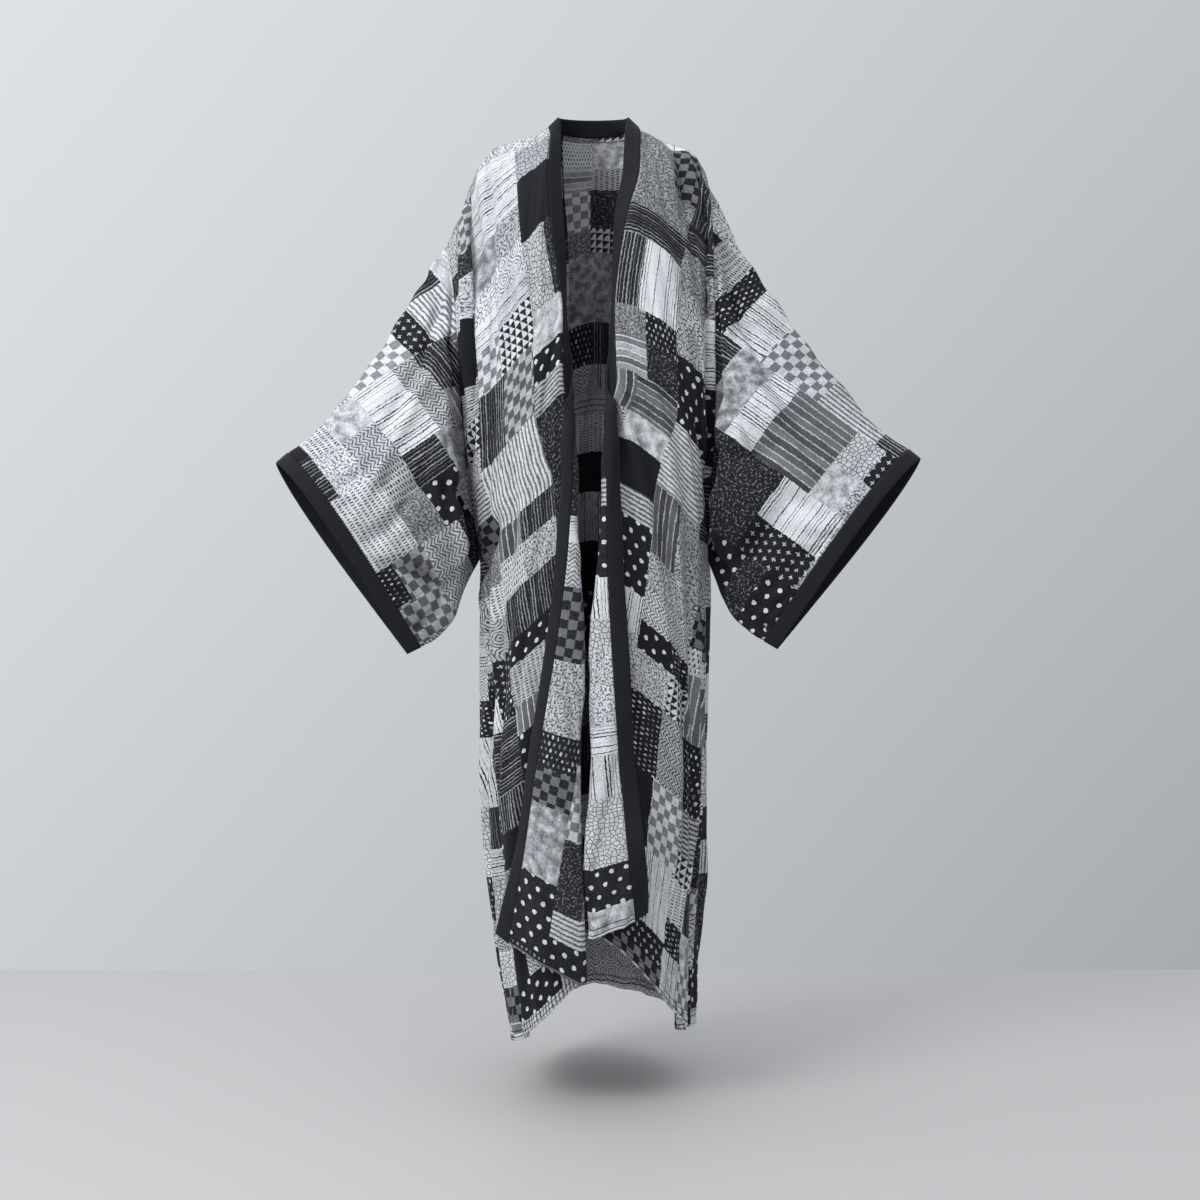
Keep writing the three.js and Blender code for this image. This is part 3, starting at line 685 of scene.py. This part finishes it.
def plainBand(name):
    material, shader, place = clothMaterial(name)
    bandX = place.node("ShaderNodeSeparateXYZ", {}, {"Vector": place})
    acrossBand = bandX * 1000
    alongBand = bandX.output(1) * 1000
    edgeA = (acrossBand - bandFinish["stitchIn"]).size() < 0.3
    edgeB = (acrossBand - (cut["bandWidth"] - bandFinish["stitchIn"])).size() < 0.3
    stitch = (edgeA + edgeB) * ((alongBand / bandFinish["stitch"]).fract() < 0.7)
    grain = noise(place, 700)
    shade = (grain - 0.5) * 1.2 + (noise(place, 30) - 0.5) * 0.6 + 0.35 + stitch * 0.3
    stops = [(0.1, bandFinish["colour"]), (0.95, bandFinish["worn"])]
    colour = shade.node("ShaderNodeValToRGB", {"stops": stops}, {"Fac": shade})
    colour.into(shader, "Base Color")
    (bandFinish["roughness"] - grain * 0.1).into(shader, "Roughness")
    twill = ((acrossBand + alongBand) / 0.9).fract()
    height = twill * 0.5 + grain * 0.6 - (edgeA + edgeB) * 0.8 + stitch * 1.4
    bump = height.node("ShaderNodeBump", {}, {"Height": height, "Strength": 0.4, "Distance": 0.0003})
    bump.into(shader, "Normal")
    return material


bandCloth = plainBand("bandCloth")


def clothPair(name, shift, hemAt=0):
    return [printedCloth(name + "Face", shift, False, hemAt),
            printedCloth(name + "Wrong", shift, True, hemAt)]


def uvOf(across, down):
    return np.stack(np.broadcast_arrays(across, down), axis=-1)


def pinnedEdges(a, width, *distances):                    # 0 at a seam, 1 further in
    weight = np.ones_like(a)
    for distance in distances:
        weight = weight * smooth(0, width, distance)
    return weight


def seamGroove(*distances):
    return sum(-0.9 * np.exp(-(distance / 2.6) ** 2) for distance in distances)


def hemThickness(toHem):
    past = smooth(cut["hemDepth"] - 1.2, cut["hemDepth"] + 0.4, toHem)
    return cut["cloth"] + cut["hemCloth"] * (1 - past)


frontDrape = {
    "creases": 2,           # how strongly the creases in the tables are pushed out
    "longWaves": 1.9,
    "shortWaves": 0.7,
    "flap": (25, 70),       # creases fade before the turned-back edge
    "pinned": 14,           # nothing moves at a seam, and all of it moves this far in
}


def makeFront(half, label, lines, seed):
    cloth, across, band, bandAcross = frontGrids(half)
    down = downLengths(cloth)[:, None] * np.ones_like(across)
    fromSide = across[:, :1] - across
    toHem = down[-1] - down
    push = creases(fromSide, down, lines) * frontDrape["creases"]
    push *= smooth(*frontDrape["flap"], across)
    push += wander(fromSide, down, seed, 62, 420) * frontDrape["longWaves"]
    push += wander(fromSide, down, seed + 1, 24, 130) * frontDrape["shortWaves"]
    push *= pinnedEdges(across, frontDrape["pinned"], fromSide, down, np.abs(across))
    push += seamGroove(fromSide, across, down)
    cloth = cloth + outwardNormals(cloth, half["side"]) * push[:, :, None]
    slots = clothPair(f"front{label.title()}", (seed * 0.37, seed * 0.53), float(down[-1, 0]))
    piece = shellMesh(f"front_{label}_cloth", cloth, uvOf(across, down), hemThickness(toHem),
                      half["side"], slots)
    bandDown = down[:, :1] * np.ones_like(bandAcross)
    bandPiece = shellMesh(f"band_{label}_cloth", band, uvOf(bandAcross, bandDown), cut["bandCloth"],
                          half["side"], [bandCloth, bandCloth])
    return piece, bandPiece, cloth, band


# Each crease: across from the side and down from the shoulder, to the same, bow, width, depth.
rightLines = [
    [24, 30, 27, 330, 3, 6, -8], [37, 60, 40, 300, 2, 6, 5], [48, 150, 52, 330, -2, 6, -7],
    [74, -20, 66, 210, 7, 12, -8], [60, 160, 84, 420, -6, 14, -5],
    [4, 560, 64, 360, 12, 12, -8], [2, 580, 110, 520, -10, 14, -7], [8, 600, 46, 840, 8, 15, -9],
    [62, 560, 74, 1180, 12, 17, -9], [104, 500, 100, 1000, -8, 18, 6], [128, 620, 122, 1300, -9, 20, -8],
    [26, 720, 18, 1340, 6, 13, -9], [96, 900, 104, 1380, 6, 15, -6], [150, 30, 70, 230, 14, 14, -4],
] + hanging(301, 6, (14, 150), (420, 1300), 5)
leftLines = [
    [2, 40, 34, 130, 2, 9, -8], [34, 130, 4, 215, -2, 8, -7], [3, 150, 26, 215, 0, 8, -6],
    [26, 215, 3, 300, 0, 8, -6], [17, 60, 13, 560, 4, 10, -10], [40, 200, 32, 520, 5, 12, 5],
    [66, 20, 74, 330, 8, 16, -6],
    [4, 580, 70, 400, 10, 13, -7], [6, 600, 42, 900, 7, 14, -8],
    [50, 560, 58, 1360, 8, 15, -11], [78, 620, 84, 1180, 5, 14, 6], [106, 480, 98, 1240, -9, 20, -7],
    [20, 660, 14, 1340, 4, 12, -8], [120, 60, 60, 260, 12, 14, -4],
] + hanging(302, 6, (14, 150), (420, 1300), 5)
frontRight, bandRight, rightCloth, rightBand = makeFront(rightHalf, "right", rightLines, 11)
frontLeft, bandLeft, leftCloth, leftBand = makeFront(leftHalf, "left", leftLines, 23)
print("fronts made")

backDrape = {
    "creases": 1.7,
    "longWaves": 1.6,
    "shortWaves": 0.5,
    "pinned": 16,
}
backLines = [           # across from the middle, down from the shoulder
    [-250, 120, -232, 620, 8, 12, -9], [236, 100, 226, 600, -8, 12, -9], [-120, 60, -210, 300, 12, 16, -6],
    [118, 70, 205, 290, -10, 16, -6], [-262, 600, -180, 380, 12, 14, -8], [258, 590, 170, 400, -12, 14, -8],
    [-30, 120, -60, 900, 12, 20, -6], [66, 260, 50, 1150, -10, 18, -7],
] + hanging(303, 15, (-270, 270), (380, 1330), 9) + hanging(304, 7, (-230, 230), (90, 700), 5)
backCloth, backAcross = backGrid()
backDown = downLengths(backCloth)[:, None] * np.ones_like(backAcross)
backPlaces = uvOf(backAcross, levelGrain(backAcross, backDown, backCloth))
rightEdge = np.abs(backAcross - backAcross[:, :1])
leftEdge = np.abs(backAcross - backAcross[:, -1:])
push = wander(backAcross, backDown, 41, 70, 460) * backDrape["longWaves"]
push += wander(backAcross, backDown, 42, 26, 140) * backDrape["shortWaves"]
push += creases(backAcross, backDown, backLines) * backDrape["creases"]
push *= pinnedEdges(backAcross, backDrape["pinned"], rightEdge, leftEdge, backDown)
push += seamGroove(rightEdge, leftEdge, backDown)
backCloth = backCloth + outwardNormals(backCloth, 1) * push[:, :, None]
backPiece = shellMesh("back_cloth", backCloth, backPlaces, hemThickness(backDown[-1] - backDown),
                      1, clothPair("back", (1.7, 0.9), float(backDown[-1, 0])))
print("back made")


def cutPlaces(grid):                                      # places on the cut cloth
    count = fine["round"]
    front = grid[:, :count + 1]
    behind = np.concatenate([grid[:, :1], grid[:, :count - 1:-1]], axis=1)
    along = front[-1, -1] - front[-1, 0]
    along /= np.linalg.norm(along)
    outward = front[-1, 0] - front[0, 0]
    outward -= along * np.dot(outward, along)
    outward /= np.linalg.norm(outward)
    top = np.stack([front[:, 0] @ along, front[:, 0] @ outward], axis=1)
    flat = [np.stack([layer @ along, layer @ outward], axis=2) for layer in (front, behind)]
    fold = top[-1] - top[0]
    fold /= np.linalg.norm(fold)
    offset = flat[1] - top[0]
    flat[1] = top[0] + 2 * (offset @ fold)[:, :, None] * fold - offset       # the back layer, opened out
    return np.concatenate([flat[0], flat[1][:, -2::-1]], axis=1), flat[1][:, -1]


sleeveDrape = {
    "creases": 1.7,
    "longWaves": 1.8,
    "shortWaves": 0.9,
    "lowest": 500,          # the place of the lowest line, with 0 along the top fold
    "calm": 75,             # creases nearly fade this near to the lowest line
    "atArmhole": 14,        # nothing moves at a seam, and all of it moves this far in
    "atCuff": 16,
}


def makeSleeve(rows, half, label, front, backEdge, lines, tuck, seed):
    frontEdge = front[armLevels][:, 0]
    side = half["side"]
    grid = sleeveGrid(rows, frontEdge, backEdge, side, np.linspace(0, 5, fine["along"] + 1))
    share = np.arange(grid.shape[1]) / fine["round"] * np.ones((len(grid), 1))
    lowest = sleeveDrape["lowest"]
    place = np.minimum(share, 2 - share) * lowest
    place = np.where(share > 1, -place, place)
    out = downLengths(grid)[:, None] * np.ones_like(place)
    push = wander(share * lowest, out, seed, 150, 90) * sleeveDrape["longWaves"]
    push += wander(share * lowest, out, seed + 3, 60, 150) * sleeveDrape["shortWaves"]
    push += creases(place, out, lines) * sleeveDrape["creases"]
    push *= 0.1 + 0.9 * smooth(0, sleeveDrape["calm"], lowest - np.abs(place))
    push += creases(place, out, [tuck])
    end = out[-1, 0]
    push *= smooth(0, sleeveDrape["atArmhole"], out) * (1 - smooth(end - sleeveDrape["atCuff"], end, out))
    push += seamGroove(out, end - out)
    grid = grid + outwardNormals(grid, side, True) * push[:, :, None]
    places, restart = cutPlaces(grid)
    sleevePiece = shellMesh(f"sleeve_{label}_cloth", grid, places, cut["cloth"], side,
                            clothPair(f"sleeve{label.title()}", (seed * 0.43, seed * 0.31)), True, restart)
    cuff = sleeveGrid(rows, frontEdge, backEdge, side, np.linspace(5, 6, fine["cuff"] + 1))
    steps = np.linalg.norm(np.diff(np.concatenate([cuff, cuff[:, :1]], axis=1), axis=1), axis=2)
    around = np.concatenate([np.zeros((len(cuff), 1)), np.cumsum(steps, axis=1)], axis=1)
    cuffOut = downLengths(cuff)[:, None] * np.ones_like(around)
    cuffPiece = shellMesh(f"cuff_band_{label}_cloth", cuff, uvOf(cuffOut, around), cut["bandCloth"],
                          side, [bandCloth, bandCloth], True)
    return sleevePiece, cuffPiece


# On the sleeves: place round (top 0, lowest 500, the back layer negative) and out from the armhole.
rightSleeveLines = [
    [250, 20, 498, 26, 6, 12, -17], [330, 52, 496, 60, -4, 15, 9], [40, 16, 260, 30, 4, 10, -7],
    [490, 60, 330, 250, 14, 15, -10], [470, 120, 300, 300, -10, 15, -7], [380, 30, 220, 190, 10, 14, -7],
    [60, 20, 120, 230, 8, 16, -6], [150, 60, 180, 300, -8, 18, 5], [250, 110, 250, 320, 6, 16, -5],
    [-480, 30, -260, 30, 6, 13, -14], [-480, 70, -300, 260, 12, 16, -9], [-380, 40, -220, 220, -10, 15, -8],
    [-90, 30, -130, 270, 8, 17, -6], [-200, 90, -220, 300, 6, 17, 5],
]
leftSleeveLines = [
    [180, 18, 496, 22, 5, 12, -15], [300, 48, 492, 56, -4, 14, 7], [30, 14, 200, 26, 3, 10, -7],
    [492, 50, 340, 260, 12, 15, -10], [460, 110, 280, 300, -9, 15, -7], [360, 30, 200, 210, 9, 14, -7],
    [70, 24, 130, 260, 8, 16, -6], [160, 70, 190, 300, -7, 18, 5], [230, 90, 260, 300, 6, 16, -5],
    [-482, 24, -250, 26, 5, 13, -13], [-470, 60, -310, 250, 12, 16, -9], [-370, 36, -210, 210, -10, 15, -8],
    [-80, 24, -120, 280, 8, 17, -6], [-190, 80, -230, 290, 6, 17, 5],
]
sleeveRight, cuffRight = makeSleeve(rightSleeve, rightHalf, "right", rightCloth, backCloth[armLevels][:, 0],
                                    rightSleeveLines, [458, -120, 462, 480, 0, 9, -11], 57)
sleeveLeft, cuffLeft = makeSleeve(leftSleeve, leftHalf, "left", leftCloth, backCloth[armLevels][:, -1],
                                  leftSleeveLines, [474, -120, 478, 480, 0, 9, -11], 71)
print("sleeves made")


neckDrape = {
    "behind": 36,           # how far the band's top edge curves behind the neck
    "rise": 6,              # and how much higher it stands there
}


def makeNeckBand():
    foot = backCloth[0][fine["backSide"]:fine["backSide"] + fine["backNeck"] + 1]
    rightTop = rightBand[0][-1]
    leftTop = leftBand[0][-1]
    turn = np.linspace(0, math.pi, len(foot))
    middle = (rightTop[0] + leftTop[0]) / 2
    reach = (leftTop[0] - rightTop[0]) / 2
    behind = neckDrape["behind"] * np.sin(turn)
    height = rightTop[2] + neckDrape["rise"] * np.sin(turn)
    top = np.stack([middle - reach * np.cos(turn), behind, height], axis=1)
    share = np.linspace(0, 1, fine["band"] + 1)[None, :, None]
    grid = foot[:, None] + (top - foot)[:, None] * share
    grid[0], grid[-1] = rightBand[0], leftBand[0]
    run = lengthsOf(top)[:, None] * np.ones(grid.shape[1])
    across = cut["bandWidth"] * share[0, :, 0] * np.ones_like(run)
    return shellMesh("band_neck_cloth", grid, uvOf(across, run), cut["bandCloth"], 1,
                     [bandCloth, bandCloth])


neckBand = makeNeckBand()

for piece, node, slot in (
    (backPiece, "back", "printed_cloth"), (frontRight, "front_right", "printed_cloth"),
    (frontLeft, "front_left", "printed_cloth"), (sleeveRight, "sleeve_right", "printed_cloth"),
    (sleeveLeft, "sleeve_left", "printed_cloth"), (bandRight, "band_right", "plain_band"),
    (bandLeft, "band_left", "plain_band"), (neckBand, "band_neck", "plain_band"),
    (cuffRight, "cuff_band_right", "plain_band"), (cuffLeft, "cuff_band_left", "plain_band"),
):
    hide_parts(node)
    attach(piece, "root")

studio = {
    "floorZ": -1.45,
    "floorEnd": 0.79,                      # the floor stops here, and nothing hides the back
    "cameraPlace": (0.010, -2.5, -0.720),
    "air": (0.935, 0.972, 1.025, 1),
    "airLight": 0.585,
    "fromLeft": 0.33,                      # brighter on the wearer's right
    "fromAbove": 0.28,
}


def plane(name, corners, material):
    mesh = bpy.data.meshes.new(name)
    mesh.from_pydata(corners, [], [tuple(range(len(corners)))])
    mesh.materials.append(material)
    made = bpy.data.objects.new(name, mesh)
    collection.objects.link(made)
    return made


def plainPaint(name, colour, roughness):
    material = bpy.data.materials.new(name)
    material.use_nodes = True
    shader = material.node_tree.nodes["Principled BSDF"]
    shader.inputs["Base Color"].default_value = colour
    shader.inputs["Roughness"].default_value = roughness
    return material


floorZ, floorEnd = studio["floorZ"], studio["floorEnd"]
plane("floor", [(-6, -6, floorZ), (6, -6, floorZ), (6, floorEnd, floorZ), (-6, floorEnd, floorZ)],
      plainPaint("floorPaint", (0.505, 0.50, 0.495, 1), 0.6))


def areaLight(name, place, aim, size, power):
    data = bpy.data.lights.new(name, "AREA")
    data.shape = "RECTANGLE"
    data.size, data.size_y = size
    data.energy = power
    lamp = bpy.data.objects.new(name, data)
    lamp.location = place
    direction = [a - b for a, b in zip(aim, place)]
    lamp.rotation_euler = Vector(direction).to_track_quat("-Z", "Y").to_euler()
    collection.objects.link(lamp)


middle = (0, 0, -0.7)
areaLight("keyLight", (-2.25, -2.2, 1.5), middle, (1.6, 1.6), 74)
areaLight("fillLight", (2.2, -2.6, 0.4), middle, (2.0, 2.0), 8)
areaLight("topLight", (0, -0.8, 2.2), middle, (3.6, 3.0), 26)

world = bpy.data.worlds.new("studioWorld")
world.use_nodes = True
air = world.node_tree.nodes["Background"]
air.inputs["Color"].default_value = studio["air"]
facing = Wire(world.node_tree, world.node_tree.nodes.new("ShaderNodeTexCoord").outputs["Generated"])
sideways = facing.node("ShaderNodeSeparateXYZ", {}, {"Vector": facing})
upwards = sideways.output(2)
brightness = studio["airLight"] - sideways * studio["fromLeft"] + upwards * studio["fromAbove"]
brightness.into(air, "Strength")
bpy.context.scene.world = world

cameraData = bpy.data.cameras.new("camera")
cameraData.lens = 50
cameraData.sensor_width = 36
camera = bpy.data.objects.new("camera", cameraData)
camera.location = studio["cameraPlace"]
camera.rotation_euler = (math.pi / 2, 0, 0)
collection.objects.link(camera)
bpy.context.scene.camera = camera
bpy.context.scene.view_settings.view_transform = "Standard"
